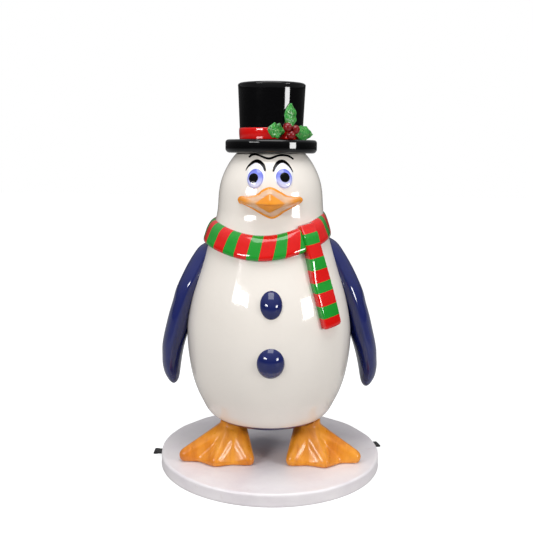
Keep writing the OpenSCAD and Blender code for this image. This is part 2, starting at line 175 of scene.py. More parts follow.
class Nodes:
    """A small helper that adds and links shader nodes."""

    def __init__(self, name):
        self.material = bpy.data.materials.new(name)
        self.material.use_nodes = True
        self.tree = self.material.node_tree
        self.bsdf = self.tree.nodes["Principled BSDF"]
        self.coords = self.add("ShaderNodeTexCoord").outputs["Object"]

    def add(self, kind, **settings):
        node = self.tree.nodes.new(kind)
        for key, value in settings.items():
            setattr(node, key, value)
        return node

    def link(self, a, b):
        self.tree.links.new(a, b)

    def stretched(self, scale):
        mapping = self.add("ShaderNodeMapping")
        mapping.inputs["Scale"].default_value = scale
        self.link(self.coords, mapping.inputs["Vector"])
        return mapping.outputs["Vector"]

    def noise(self, scale, detail=3.0, rough=0.5, vector=None, distortion=0.0):
        node = self.add("ShaderNodeTexNoise")
        node.inputs["Scale"].default_value = scale
        node.inputs["Detail"].default_value = detail
        node.inputs["Roughness"].default_value = rough
        node.inputs["Distortion"].default_value = distortion
        self.link(vector or self.coords, node.inputs["Vector"])
        return node.outputs["Fac"]

    def ramp(self, factor, *stops):
        node = self.add("ShaderNodeValToRGB")
        ramp = node.color_ramp
        ramp.elements[0].position, ramp.elements[0].color = stops[0]
        ramp.elements[1].position, ramp.elements[1].color = stops[-1]
        for position, colour in stops[1:-1]:
            ramp.elements.new(position).color = colour
        self.link(factor, node.inputs["Fac"])
        return node.outputs["Color"]

    def mix(self, factor, a, b, blend="MIX"):
        node = self.add("ShaderNodeMix", data_type="RGBA", blend_type=blend)
        for value, socket in ((factor, node.inputs[0]), (a, node.inputs[6]), (b, node.inputs[7])):
            if hasattr(value, "links"):
                self.link(value, socket)
            else:
                socket.default_value = value
        return node.outputs[2]

    def scaled(self, value, low, high):
        node = self.add("ShaderNodeMapRange")
        node.inputs["To Min"].default_value = low
        node.inputs["To Max"].default_value = high
        self.link(value, node.inputs["Value"])
        return node.outputs["Result"]

    def bump(self, height, distance, strength=1.0, under=None):
        node = self.add("ShaderNodeBump")
        node.inputs["Strength"].default_value = strength
        node.inputs["Distance"].default_value = distance
        self.link(height, node.inputs["Height"])
        if under is not None:
            self.link(under, node.inputs["Normal"])
        return node.outputs["Normal"]

    def colour(self, output):
        self.link(output, self.bsdf.inputs["Base Color"])

    def roughness(self, output):
        self.link(output, self.bsdf.inputs["Roughness"])

    def normal(self, output):
        self.link(output, self.bsdf.inputs["Normal"])

    def set(self, **values):
        for key, value in values.items():
            self.bsdf.inputs[key.replace("_", " ")].default_value = value


def enamel(name, colour, rough=(0.05, 0.12), vary=0.05, peel=0.00003, wave=0.0006, coat=0.35, ior=1.5):
    """Sprayed gloss enamel over fibreglass: orange peel, slow waviness and faint mottling."""
    n = Nodes(name)
    slow = n.noise(5.0, 2.0)
    fine = n.noise(60.0, 3.0)
    tone = n.mix(0.35, slow, fine)
    n.colour(n.ramp(tone, (0.3, shade(colour, 1 - vary)), (0.7, shade(colour, 1 + vary))))
    n.roughness(n.scaled(n.noise(35.0, 4.0), *rough))
    waves = n.bump(n.noise(9.0, 1.0), wave)
    ripples = n.bump(n.noise(34.0, 2.0), wave * 0.4, under=waves)
    n.normal(n.bump(n.noise(420.0, 1.0), peel, under=ripples))
    n.set(IOR=ior, Coat_Weight=coat, Coat_Roughness=0.03, Coat_IOR=1.5)
    return n.material


WHITE = enamel("white_enamel", srgb(236, 229, 220), vary=0.012, wave=0.0009)
NAVY = enamel("navy_enamel", srgb(30, 38, 98), vary=0.10)
RED = enamel("scarf_red_enamel", srgb(216, 14, 8), vary=0.05)
GREEN = enamel("scarf_green_enamel", srgb(24, 148, 42), vary=0.06)
BLACK = enamel("black_enamel", srgb(5, 5, 6), rough=(0.03, 0.08), vary=0.2, coat=0.15, ior=1.42)
BAND = enamel("band_enamel", srgb(220, 16, 12), vary=0.05)
BUTTON = enamel("button_enamel", srgb(22, 32, 90), vary=0.08, coat=0.2)
LINE = enamel("line_enamel", srgb(3, 3, 4), vary=0.2, coat=0.0, ior=1.3)


def foot_material():
    """Orange enamel brushed by hand: darker and paler in streaks and blotches, paler where it has rubbed."""
    n = Nodes("foot_enamel")
    streaks = n.noise(40.0, 4.0, 0.6, n.stretched((1, 0.35, 0.35)), 0.6)
    body = n.ramp(streaks, (0.3, srgb(214, 128, 24)), (0.55, srgb(236, 152, 38)), (0.8, srgb(244, 170, 64)))
    blotch = n.ramp(n.noise(11.0, 3.0), (0.35, srgb(205, 120, 24)), (0.6, srgb(255, 255, 255)))
    n.colour(n.mix(0.35, body, blotch, "MULTIPLY"))
    n.roughness(n.scaled(n.noise(55.0, 4.0), 0.22, 0.38))
    waves = n.bump(n.noise(34.0, 2.0), 0.0014)
    n.normal(n.bump(n.noise(160.0, 2.0), 0.00025, under=waves))
    n.set(IOR=1.5, Coat_Weight=0.18, Coat_Roughness=0.08)
    return n.material


def bill_material():
    """Orange enamel, painted paler on the walls behind the blunt front: a painted reflection of the white
    face.
    """
    n = Nodes("bill_enamel")
    slow = n.noise(14.0, 3.0)
    orange = n.ramp(slow, (0.3, srgb(226, 138, 30)), (0.7, srgb(244, 156, 38)))
    # painted reflection: the paler orange on the walls stands for the white face mirrored in them
    painted_reflection = n.ramp(n.noise(30.0, 3.0), (0.3, srgb(214, 164, 120)), (0.7, srgb(230, 184, 142)))
    n.colour(n.mix(n.add("ShaderNodeAttribute", attribute_name="painted_reflection").outputs["Fac"], orange, painted_reflection))
    n.roughness(n.scaled(n.noise(35.0, 4.0), 0.06, 0.14))
    n.normal(n.bump(n.noise(60.0, 2.0), 0.0004))
    n.set(IOR=1.5, Coat_Weight=0.5, Coat_Roughness=0.03)
    return n.material


def gelcoat_material():
    """Brushed off-white gelcoat with a faint lilac cast, scuffs and dust."""
    n = Nodes("plinth_gelcoat")
    blotch = n.noise(7.0, 5.0, 0.6)
    base = n.ramp(blotch, (0.3, srgb(226, 218, 222)), (0.5, srgb(234, 228, 230)), (0.72, srgb(240, 235, 235)))
    dust = n.ramp(n.noise(26.0, 6.0, 0.7), (0.62, (1, 1, 1, 1)), (0.86, srgb(222, 208, 198)))
    n.colour(n.mix(0.6, base, dust, "MULTIPLY"))
    n.roughness(n.scaled(n.noise(18.0, 5.0), 0.26, 0.46))
    waves = n.bump(n.noise(12.0, 2.0), 0.0016)
    n.normal(n.bump(n.noise(180.0, 3.0), 0.00012, under=waves))
    n.set(IOR=1.48, Coat_Weight=0.15, Coat_Roughness=0.2)
    return n.material


def iris_material(centre_h):
    """Violet-blue above, fading to near white at the bottom, with soft mottling and a darker edge ring."""
    n = Nodes("iris_paint")
    split = n.add("ShaderNodeSeparateXYZ")
    n.link(n.coords, split.inputs[0])
    height = n.add("ShaderNodeMapRange")
    height.inputs["From Min"].default_value = (centre_h - 26 + BASE_T) * MM
    height.inputs["From Max"].default_value = (centre_h + 26 + BASE_T) * MM
    n.link(split.outputs["Z"], height.inputs["Value"])
    fade = n.ramp(
        height.outputs["Result"],
        (0.10, srgb(236, 236, 252)),
        (0.38, srgb(196, 200, 246)),
        (0.62, srgb(140, 150, 234)),
        (0.95, srgb(116, 128, 224)),
    )
    mottle = n.ramp(n.noise(120.0, 3.0), (0.3, srgb(232, 234, 250)), (0.7, srgb(255, 255, 255)))
    ring = n.add("ShaderNodeAttribute", attribute_name="ring").outputs["Fac"]
    edge = n.ramp(ring, (0.80, (0, 0, 0, 1)), (0.93, (0.5, 0.5, 0.5, 1)))
    tinted = n.mix(edge, fade, srgb(96, 106, 206))
    n.colour(n.mix(0.8, tinted, mottle, "MULTIPLY"))
    n.roughness(n.scaled(n.noise(50.0), 0.05, 0.1))
    n.set(IOR=1.5, Coat_Weight=0.8, Coat_Roughness=0.02)
    return n.material


def eyeball_material():
    n = Nodes("eye_enamel")
    n.colour(n.ramp(n.noise(40.0, 3.0), (0.3, srgb(236, 236, 248)), (0.7, srgb(246, 246, 252))))
    n.roughness(n.scaled(n.noise(50.0), 0.05, 0.1))
    n.normal(n.bump(n.noise(300.0, 1.0), 0.00003))
    n.set(IOR=1.5, Coat_Weight=0.8, Coat_Roughness=0.02)
    return n.material


def leaf_material():
    """Glossy green over a hammered surface that breaks up the light, with pale specks painted into the colour
    as glints.
    """
    n = Nodes("holly_leaf_enamel")
    tone = n.noise(70.0, 4.0, 0.6)
    green = n.ramp(tone, (0.3, srgb(14, 104, 30)), (0.5, srgb(30, 146, 46)), (0.75, srgb(74, 180, 80)))
    # painted glints: pale specks mixed into the green stand for tiny highlights
    painted_glints = n.ramp(n.noise(420.0, 1.0), (0.60, (0, 0, 0, 1)), (0.70, (0.75, 0.75, 0.75, 1)))
    n.colour(n.mix(painted_glints, green, srgb(196, 226, 150)))
    n.roughness(n.scaled(n.noise(90.0, 3.0), 0.06, 0.2))
    coarse = n.bump(n.noise(150.0, 2.0), 0.0018)
    n.normal(n.bump(n.noise(520.0, 2.0), 0.0004, under=coarse))
    n.set(IOR=1.5, Coat_Weight=0.8, Coat_Roughness=0.04)
    return n.material


def plywood_material():
    n = Nodes("plywood_sheet")
    rings = n.add("ShaderNodeTexWave", wave_type="BANDS", bands_direction="Z")
    rings.inputs["Scale"].default_value = 95.0
    rings.inputs["Distortion"].default_value = 1.2
    rings.inputs["Detail"].default_value = 2.0
    n.link(n.coords, rings.inputs["Vector"])
    grain = n.noise(16.0, 6.0, 0.65, n.stretched((1, 14, 1)), 0.5)
    plies = n.ramp(rings.outputs["Fac"], (0.3, srgb(150, 112, 72)), (0.7, srgb(208, 170, 122)))
    figure = n.ramp(grain, (0.3, srgb(176, 134, 88)), (0.7, srgb(236, 208, 168)))
    n.colour(n.mix(0.6, plies, figure, "MULTIPLY"))
    n.roughness(n.scaled(grain, 0.6, 0.8))
    n.normal(n.bump(grain, 0.0003))
    return n.material


def metal_material(name, low, high, rough, scratch):
    n = Nodes(name)
    n.colour(n.ramp(n.noise(60.0, 4.0), (0.3, low), (0.7, high)))
    n.roughness(n.scaled(n.noise(120.0, 4.0), *rough))
    n.normal(n.bump(n.noise(300.0, 2.0, vector=n.stretched((1, 1, 0.1))), scratch))
    n.set(Metallic=1.0)
    return n.material


def webbing_material():
    """Black woven polyester webbing: crossed ribs, with a grey sheen painted onto the high threads."""
    n = Nodes("webbing_weave")
    ribs = []
    for direction in ("X", "Y"):
        wave = n.add("ShaderNodeTexWave", wave_type="BANDS", bands_direction=direction)
        wave.inputs["Scale"].default_value = 260.0
        wave.inputs["Distortion"].default_value = 0.4
        n.link(n.coords, wave.inputs["Vector"])
        ribs.append(wave.outputs["Fac"])
    weave = n.mix(0.5, ribs[0], ribs[1])
    # the lighter grey of the high threads is a painted sheen, besides the real sheen set below
    n.colour(n.ramp(weave, (0.25, srgb(5, 5, 6)), (0.75, srgb(22, 22, 24))))
    n.roughness(n.scaled(weave, 0.75, 0.5))
    n.normal(n.bump(weave, 0.0005))
    n.set(Sheen_Weight=0.15, Sheen_Roughness=0.4)
    return n.material


FOOT = foot_material()
BILL = bill_material()
GELCOAT = gelcoat_material()
EYEBALL = eyeball_material()
LEAF = leaf_material()
BERRY = enamel("berry_enamel", srgb(118, 0, 5), rough=(0.02, 0.05), vary=0.15, peel=0.0, wave=0.0, ior=1.42)
PLYWOOD = plywood_material()
STEEL = metal_material("raw_steel", srgb(112, 114, 118), srgb(150, 152, 155), (0.35, 0.55), 0.0002)
ZINC = metal_material("zinc_plate", srgb(178, 180, 184), srgb(206, 206, 204), (0.22, 0.38), 0.0001)
WEBBING = webbing_material()

# -------- mesh helpers


def piece(name, verts, faces, materials, body, slot, nodes=(), indices=None):
    """Makes a mesh object that rides on a CAD body and stands for CAD nodes."""
    mesh = bpy.data.meshes.new(name)
    mesh.from_pydata([tuple(v) for v in verts], [], faces)
    bm = bmesh.new()
    bm.from_mesh(mesh)
    bmesh.ops.recalc_face_normals(bm, faces=bm.faces)
    bm.to_mesh(mesh)
    bm.free()
    for material in materials:
        mesh.materials.append(material)
    if indices is not None:
        mesh.polygons.foreach_set("material_index", indices)
    mesh.polygons.foreach_set("use_smooth", [True] * len(mesh.polygons))
    return settle(add_object(name, mesh), body, slot, nodes)


def settle(obj, body, slot, nodes=()):
    if body:
        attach(obj, body)
    if nodes:
        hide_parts(*nodes)
    return obj


def rings_faces(rows, cols, wrap_cols=True, wrap_rows=False, cap_start=False, cap_end=False, start=0):
    """Quads between rows of a grid of points, with optional end caps."""
    faces = []
    for i in range(rows if wrap_rows else rows - 1):
        a, b = start + i * cols, start + (i + 1) % rows * cols
        for k in range(cols if wrap_cols else cols - 1):
            m = (k + 1) % cols
            faces.append((a + k, a + m, b + m, b + k))
    if cap_start:
        faces.append(tuple(start + k for k in range(cols)))
    if cap_end:
        faces.append(tuple(start + (rows - 1) * cols + k for k in range(cols - 1, -1, -1)))
    return faces


def closed_shell(outer, inner):
    """A closed solid from two open grids with the same rows and columns."""
    rows, cols = len(outer), len(outer[0])
    verts = [p for row in outer for p in row] + [p for row in inner for p in row]
    n = rows * cols
    faces = rings_faces(rows, cols, wrap_cols=False)
    faces += [tuple(n + v for v in reversed(f)) for f in rings_faces(rows, cols, wrap_cols=False)]
    for i in range(rows - 1):
        a, b = i * cols, (i + 1) * cols
        faces.append((a, b, n + b, n + a))
        a, b = a + cols - 1, b + cols - 1
        faces.append((b, a, n + a, n + b))
    for k in range(cols - 1):
        faces.append((k + 1, k, n + k, n + k + 1))
        a = (rows - 1) * cols + k
        faces.append((a, a + 1, n + a + 1, n + a))
    return verts, faces


def lathe(name, profile, segments, materials, slot, nodes, centre=(AXIS_X, 0), wobble=None):
    """A body of revolution from a closed outline of (r, z) in mm; r = 0 closes at the axis."""
    verts, faces, starts = [], [], []
    for r, z in profile:
        starts.append(len(verts))
        if r < 1e-6:
            verts.append(Vector((centre[0] * MM, centre[1] * MM, z * MM)))
            continue
        for k in range(segments):
            a = 2 * math.pi * k / segments
            rr, zz = wobble(r, z, a) if wobble else (r, z)
            x, y = centre[0] + rr * math.cos(a), centre[1] + rr * math.sin(a)
            verts.append(Vector((x * MM, y * MM, zz * MM)))
    n = len(profile)
    pairs = [(i, i + 1) for i in range(n - 1)]
    if profile[0][0] > 1e-6 or profile[-1][0] > 1e-6:
        pairs.append((n - 1, 0))
    for i, j in pairs:
        point_i, point_j = profile[i][0] < 1e-6, profile[j][0] < 1e-6
        if point_i and point_j:
            continue
        for k in range(segments):
            m = (k + 1) % segments
            if point_i:
                faces.append((starts[i], starts[j] + m, starts[j] + k))
            elif point_j:
                faces.append((starts[i] + k, starts[i] + m, starts[j]))
            else:
                faces.append((starts[i] + k, starts[i] + m, starts[j] + m, starts[j] + k))
    return piece(name, verts, faces, materials, "statue", slot, nodes)


def round_corner(centre, radius, start, end, steps):
    return [
        (
            centre[0] + radius * math.cos(math.radians(start + (end - start) * i / steps)),
            centre[1] + radius * math.sin(math.radians(start + (end - start) * i / steps)),
        )
        for i in range(steps + 1)
    ]


def ease(t):
    t = max(0.0, min(1.0, t))
    return t * t * (3 - 2 * t)


def curve_through(points, count):
    """A smooth curve through points, as count evenly spaced ones (Catmull-Rom)."""
    p = np.array(points, float)
    fine = []
    for i in range(len(p) - 1):
        a, b, c, d = p[max(i - 1, 0)], p[i], p[i + 1], p[min(i + 2, len(p) - 1)]
        for t in np.linspace(0, 1, 24, endpoint=False):
            square = (2 * a - 5 * b + 4 * c - d) * t * t
            cube = (3 * b - a - 3 * c + d) * t**3
            fine.append(0.5 * (2 * b + (c - a) * t + square + cube))
    fine.append(p[-1])
    fine = np.array(fine)
    s = np.concatenate([[0], np.cumsum(np.linalg.norm(np.diff(fine, axis=0), axis=1))])
    t = np.linspace(0, s[-1], count)
    return np.stack([np.interp(t, s, fine[:, k]) for k in range(fine.shape[1])], axis=1)


# -------- the body's outline

BODY_POINTS = [
    (115, 104), (150, 110.5), (180, 125), (199, 146), (212, 172), (228, 206), (243.5, 256),
    (255, 325), (258.5, 400), (251.5, 465), (236.5, 530), (212, 603), (192.5, 665), (177, 715),
    (165.4, 757), (163.3, 774), (161.9, 790), (159.3, 825), (152, 862), (137, 898), (120, 926), (105, 944),
]
PAN_H = 130.0
BRIM_H = 944.0
BRIM_T = 40.0


def smooth_outline():
    path = curve_through(BODY_POINTS, 480)
    kernel = np.exp(-np.linspace(-2.2, 2.2, 23) ** 2 / 2)
    kernel /= kernel.sum()
    blurred = path.copy()
    for k in (0, 1):
        blurred[11:-11, k] = np.convolve(path[:, k], kernel, "valid")
    return blurred


OUTLINE = smooth_outline()


def body_r(h):
    return float(np.interp(h, OUTLINE[:, 1], OUTLINE[:, 0]))


def body_slope(h):
    return (body_r(h + 4) - body_r(h - 4)) / 8


def on_body(turn, h, out=0.0):
    """A point that stands off the body: turn in degrees from the front towards +X."""
    a = math.radians(turn)
    r = body_r(h) + out
    return to_world(r * math.sin(a), -r * math.cos(a), h)


SEAM_R, SEAM_FRONT, SEAM_MID_H, SEAM_TURN = 1360.0, -45.0, 480.0, -3.0


def seam_angles(h, r):
    """Turns of the two colour seams at a height, in degrees from the front."""
    y = SEAM_FRONT + SEAM_R - math.sqrt(SEAM_R**2 - (h - SEAM_MID_H) ** 2)
    half = math.degrees(math.acos(max(-1, min(1, -y / r))))
    return SEAM_TURN - half, SEAM_TURN + half


def shell(name, h_low, h_high, rows, cols, front, material, slot, nodes):
    """One of the two body shells, with a fine paint groove where the colours meet."""
    heights = np.linspace(h_low, h_high, rows)
    near = [0.0, 0.002, 0.006, 0.014]
    across = near + list(np.linspace(0.03, 0.97, cols)) + [1 - t for t in reversed(near)]
    outer, inner = [], []
    for h in heights:
        r = body_r(h)
        left, right = seam_angles(h, r)
        a0, a1 = (left, right) if front else (right, left + 360)
        row_out, row_in = [], []
        slope = body_slope(h)
        thick = WALL * math.sqrt(1 + slope * slope)
        for t in across:
            turn = a0 + (a1 - a0) * t
            edge = min(t, 1 - t) * math.radians(abs(a1 - a0)) * r
            dip = 0.7 * math.exp(-((edge / 1.6) ** 2))
            row_out.append(on_body(turn, h, -dip))
            row_in.append(on_body(turn, h, -thick))
        outer.append(row_out)
        inner.append(row_in)
    verts, faces = closed_shell(outer, inner)
    return piece(name, verts, faces, [material], "statue", slot, nodes)


shell("front_shell_paint", PAN_H, BRIM_H, 230, 120, True, WHITE, "white_paint", ["front_shell"])
shell("back_shell_paint", PAN_H, BRIM_H, 230, 110, False, NAVY, "navy_paint", ["back_shell"])


def bottom_pan():
    low = [(r, h) for r, h in OUTLINE if h < PAN_H - 1.5]
    outer = [(0, low[0][1])] + [(r, h) for r, h in low[::2]]
    outer += [(body_r(PAN_H - 1.5), PAN_H - 1.2), (body_r(PAN_H) - 0.8, PAN_H - 0.2)]
    inner = [(body_r(PAN_H) - WALL - 1, PAN_H - 0.2)]
    inner += [(max(0, r - 3.0), h + WALL) for r, h in reversed(low[::2]) if h + WALL < PAN_H - 0.4]
    inner += [(0, low[0][1] + WALL)]
    profile = [(r, h + BASE_T) for r, h in outer + inner]
    return lathe("bottom_pan_paint", profile, 144, [NAVY], "navy_paint", ["bottom_pan"])


bottom_pan()

# -------- plinth


def plinth():
    profile = [(345, 0.4), (349.2, 0), (350, 1.2)]
    profile += [(350, z) for z in (8, 16, 24, 31)]
    profile += round_corner((342.5, 32.5), 7.5, 4, 90, 8)
    profile += [(r, 40.0) for r in range(330, 0, -15)] + [(0, 40.0)]
    profile += [(0, 35.0), (345, 35.0)]

    def wobble(r, z, a):
        amount = max(0.0, min(1.0, (r - 300) / 45)) if z > 5 else 0.0
        n = noise.noise(Vector((4.2 * math.cos(a), 4.2 * math.sin(a), z * 0.02)))
        dip = 0.9 * noise.noise(Vector((r * 0.012 * math.cos(a), r * 0.012 * math.sin(a), 4.0)))
        top = -abs(dip) - 0.7 * math.exp(-(((r - 318) / 14) ** 2)) if z > 39.9 else 0.0
        return min(PLINTH_R, r - amount * (0.8 + 2.0 * n)), z + top - (0.7 + 1.4 * n) * amount * (z > 30)

    skin = lathe("plinth_skin", profile, 240, [GELCOAT], "plinth_gelcoat", ["base_skin"], (0, 0), wobble)
    cutters = []
    for turn in STRAP_TURNS.values():
        bpy.ops.mesh.primitive_cube_add(size=1)
        cutter = bpy.context.object
        a = math.radians(turn)
        middle = Vector((0.3475 * math.cos(a), 0.3475 * math.sin(a), STRAP_Z * MM))
        size = Matrix.Diagonal((0.02, 0.0405, 0.0042, 1))
        cutter.matrix_world = Matrix.Translation(middle) @ Matrix.Rotation(a, 4, "Z") @ size
        cutters.append(cutter)
    for s in (-1, 1):
        for k in range(3):
            b = math.radians(90 + 120 * k)
            bpy.ops.mesh.primitive_cylinder_add(vertices=32, radius=0.0045, depth=0.02)
            cutter = bpy.context.object
            cutter.location = (s * 0.1165 + 0.0255 * math.cos(b), -0.066 + 0.0255 * math.sin(b), 0.037)
            cutters.append(cutter)
    bpy.context.view_layer.update()
    for cutter in cutters:
        cut = skin.modifiers.new("cut", "BOOLEAN")
        cut.operation = "DIFFERENCE"
        cut.solver = "EXACT"
        cut.object = cutter
    graph = bpy.context.evaluated_depsgraph_get()
    mesh = bpy.data.meshes.new_from_object(skin.evaluated_get(graph))
    skin.modifiers.clear()
    skin.data = mesh
    for cutter in cutters:
        bpy.data.objects.remove(cutter)
    return skin


plinth()

# -------- feet


def soft_copy(name, source, voxel, rounds, material, slot):
    """A rounded copy of a CAD node: remeshed fine, then relaxed."""
    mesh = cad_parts[source].data.copy()
    mesh.materials.clear()
    obj = add_object(name, mesh)
    remesh = obj.modifiers.new("remesh", "REMESH")
    remesh.mode = "VOXEL"
    remesh.voxel_size = voxel
    remesh.use_smooth_shade = True
    smooth = obj.modifiers.new("relax", "SMOOTH")
    smooth.factor = 0.5
    smooth.iterations = rounds
    graph = bpy.context.evaluated_depsgraph_get()
    obj.data = bpy.data.meshes.new_from_object(obj.evaluated_get(graph))
    obj.modifiers.clear()
    obj.data.materials.clear()
    obj.data.materials.append(material)
    obj.data.polygons.foreach_set("use_smooth", [True] * len(obj.data.polygons))
    return settle(obj, "statue", slot, [source])


def segment_distance(p, a, b):
    """Distance in plan from p to the line a-b, and how far along it p lies."""
    ab = (b[0] - a[0], b[1] - a[1])
    t = ((p[0] - a[0]) * ab[0] + (p[1] - a[1]) * ab[1]) / (ab[0] ** 2 + ab[1] ** 2)
    t = max(0.0, min(1.0, t))
    return math.hypot(p[0] - a[0] - t * ab[0], p[1] - a[1] - t * ab[1]), t


def make_foot(name, source, s):
    foot = soft_copy(name, source, 0.0026, 40, FOOT, "orange_paint")
    ankle = (s * POST_X, POST_Y)
    toes = [(s * 262, -122.0), (s * 166, -160.0), (s * 66, -148.0)]
    floor_z = (BASE_T + 0.2) * MM
    normals = [v.normal.copy() for v in foot.data.vertices]
    for v, n in zip(foot.data.vertices, normals):
        x, y, z = v.co.x / MM, v.co.y / MM, v.co.z / MM - BASE_T
        lift = 0.0
        for toe in toes:
            d, t = segment_distance((x, y), ankle, toe)
            lift += 3.0 * math.exp(-((d / 9.0) ** 2)) * ease(t / 0.35) * (1 - 0.45 * t)
        if n.z > 0.1 and z > 10:
            v.co += n * lift * min(1.0, n.z * 1.6) * MM
        v.co.z = max(v.co.z, floor_z)
    return foot


make_foot("foot_left_paint", "foot_left", -1)
make_foot("foot_right_paint", "foot_right", 1)

# -------- flippers and tail

FLIPPER = [
    (668, 172, 22, 26, 2), (655, 186, 32, 42, 0), (635, 198, 37, 54, -2), (597, 219, 39, 66, -2),
    (559, 237, 40, 74, 0), (520, 254, 40, 80, 2), (481, 267, 38, 84, 4), (442, 279, 38, 86, 6),
    (403, 289, 38, 86, 8), (365, 299, 37, 85, 10), (335, 306, 35, 81, 12), (306, 310, 32, 75, 14),
    (282, 312.5, 30, 67, 16), (260, 313, 27, 56, 18), (242, 312, 23.5, 44, 19), (226, 310, 18, 31, 20),
    (215, 309, 12, 19, 20), (209, 308.5, 6, 9, 20),
]


def flipper(name, s, node, drop, swing, rise):
    """A tapered paddle with a lens section. Its tip hangs lower by drop and further out by swing,
    and its shoulder is higher and closer in by rise."""
    sections = curve_through(FLIPPER, 90)
    cols = 56
    verts = []
    for h, out, half_t, half_d, y in sections:
        low = ease((400 - h) / 190)
        high = ease((h - 600) / 68)
        out += swing * low - 0.6 * rise * high
        y += 10 * ease((h - 540) / 80)
        h += rise * high - drop * low
        for k in range(cols):
            a = 2 * math.pi * k / cols
            ca, sa = math.cos(a), math.sin(a)
            x = half_t * math.copysign(abs(ca) ** 1.22, ca)
            depth = half_d * sa
            verts.append(to_world(s * (out + x), y + depth, h))
    faces = rings_faces(len(sections), cols, cap_start=True, cap_end=True)
    return piece(name, verts, faces, [NAVY], "statue", "navy_paint", [node])


flipper("flipper_left_paint", -1, "flipper_left", 3, -2, 0)
flipper("flipper_right_paint", 1, "flipper_right", 6, 7, 18)
soft_copy("tail_paint", "tail", 0.003, 14, NAVY, "navy_paint")

# -------- scarf

SCARF_W, SCARF_T = 72.0, 20.0
# turns of the stripes' edges, along the scarf's lower and upper border
STRIPES_LOW = [-68.2, -53.3, -41.3, -29.7, -19.1, -9.2, 1.3, 11.5, 22.9, 31.0, 63.0, 76.8]
STRIPES_HIGH = [-64.8, -49.8, -36.8, -27.3, -15.8, -5.7, 6.3, 15.5, 27.9, 36.0, 56.8, 66.2]
STRIPES_BEHIND = 19


def scarf_mid(turn):
    """Middle height of the scarf: it dips in front, and is a little higher on the +X side."""
    dip = ((1 + math.cos(math.radians(turn + 4))) / 2) ** 5
    return 720 + 11 * math.sin(math.radians(turn)) - 45.5 * dip


def scarf_point(turn, u, out):
    """A point of the wrap, which lies flatter past its hanging end."""
    h = scarf_mid(turn) + u
    past = turn % 360
    out *= 1 - 0.55 * ease((past - 48) / 30) * ease((160 - past) / 40)
    a = math.radians(turn)
    ripple = 0.9 * noise.noise(Vector((6 * math.sin(a), 6 * math.cos(a), u * 0.04)))
    return on_body(turn, h, max(0.3, out + ripple * min(1.0, out / 8)))


def all_round(edges):
    """The stripes' edges in front, followed by evenly spaced ones behind the neck."""
    step = 360 + edges[0] - edges[-1]
    return edges + [edges[-1] + step * k / STRIPES_BEHIND for k in range(1, STRIPES_BEHIND + 1)]


def scarf_wrap():
    """The wrap round the neck, striped along its length."""
    low, high = all_round(STRIPES_LOW), all_round(STRIPES_HIGH)
    edge = SCARF_W / 2
    section = []
    for k in range(25):
        u = math.cos(math.pi * k / 24)
        full = (1 - abs(u) ** (2.6 if u > 0 else 4.2)) ** 0.5 * (0.97 - 0.13 * u)
        section.append((edge * math.copysign(abs(u) ** 0.8, u), SCARF_T * full))
    section += [(-edge * 0.5, 0.3), (0, 0.3), (edge * 0.5, 0.3)]
    columns, stripe_of = [], []
    per = 6
    for i in range(len(low) - 1):
        for k in range(per):
            t = k / per
            columns.append((low[i] + (low[i + 1] - low[i]) * t, high[i] + (high[i + 1] - high[i]) * t))
            stripe_of.append(i)
    verts = []
    for a_low, a_high in columns:
        for u, out in section:
            turn = a_low + (a_high - a_low) * (u + edge) / (2 * edge)
            verts.append(scarf_point(turn, u, out))
    faces = rings_faces(len(columns), len(section), wrap_rows=True)
    indices = []
    for i in range(len(columns)):
        indices += [(stripe_of[i] + 1) % 2] * len(section)
    return piece(
        "scarf_wrap_paint", verts, faces, [RED, GREEN], "statue", "scarf_red", ["scarf_wrap"], indices
    )


scarf_wrap()

TAIL_TOP, TAIL_LEN = 740.0, 292.0
TAIL_BANDS = [TAIL_TOP, 717.5, 686.5, 648, 614, 578.5, 550, 512.5, 478, 448]


def tail_turn(h):
    return 38.4 - 2.8 * ease((h - 570) / 170) + 5.2 * max(0.0, (TAIL_TOP - h) / TAIL_LEN) ** 2.2


def tail_half(h):
    return math.degrees((32 - 9 * ease((h - 560) / 100)) / body_r(h))


def tail_out(h):
    return SCARF_T + 2 + 8 * ease((h - 560) / 90) - 14 * ease((h - 706) / 36)


def scarf_tail():
    """The hanging end: one piece of relief with rounded edges, striped across."""
    rows, band_of = [], []
    for i in range(1, len(TAIL_BANDS)):
        high, low = TAIL_BANDS[i - 1], TAIL_BANDS[i]
        steps = max(2, round((high - low) / 5))
        for k in range(steps):
            rows.append(high + (low - high) * k / steps)
            band_of.append(i)
    rows.append(TAIL_BANDS[-1])
    round_r = 5.0
    verts = []
    for n, h in enumerate(rows):
        w, out = tail_half(h), tail_out(h)
        e = math.degrees(round_r / body_r(h))
        shrink = 1.6 if n == len(rows) - 1 else 0.0
        out -= shrink
        section = [(-w, 0.3)]
        for k in range(7):
            b = math.pi / 2 * k / 6
            section.append((-w + e * (1 - math.cos(b)), out - round_r + round_r * math.sin(b)))
        section += [(-w * 0.5, out + 0.7), (0, out + 1), (w * 0.5, out + 0.7)]
        for k in range(7):
            b = math.pi / 2 * (6 - k) / 6
            section.append((w - e * (1 - math.cos(b)), out - round_r + round_r * math.sin(b)))
        section += [(w, 0.3), (0, 0.3)]
        for q, o in section:
            corner = max(0.0, 1 - (h - TAIL_BANDS[-1]) / 9) ** 2 if q > 0 else 0.0
            verts.append(on_body(tail_turn(h) + q * (1 - 0.14 * corner), h + 0.6 * q, o))
    cols = len(section)
    faces = rings_faces(len(rows), cols, cap_start=True, cap_end=True)
    indices = []
    for i in range(len(rows) - 1):
        indices += [band_of[i] % 2 ^ 1] * cols
    indices += [band_of[0] % 2 ^ 1, band_of[-1] % 2 ^ 1]
    return piece(
        "scarf_tail_paint", verts, faces, [RED, GREEN], "statue", "scarf_green", ["scarf_tail"], indices
    )


scarf_tail()

# -------- buttons and eyes


def patch_point(turn, h, x, up, out):
    r = body_r(h + up)
    return on_body(turn + math.degrees(x / r), h + up, out)


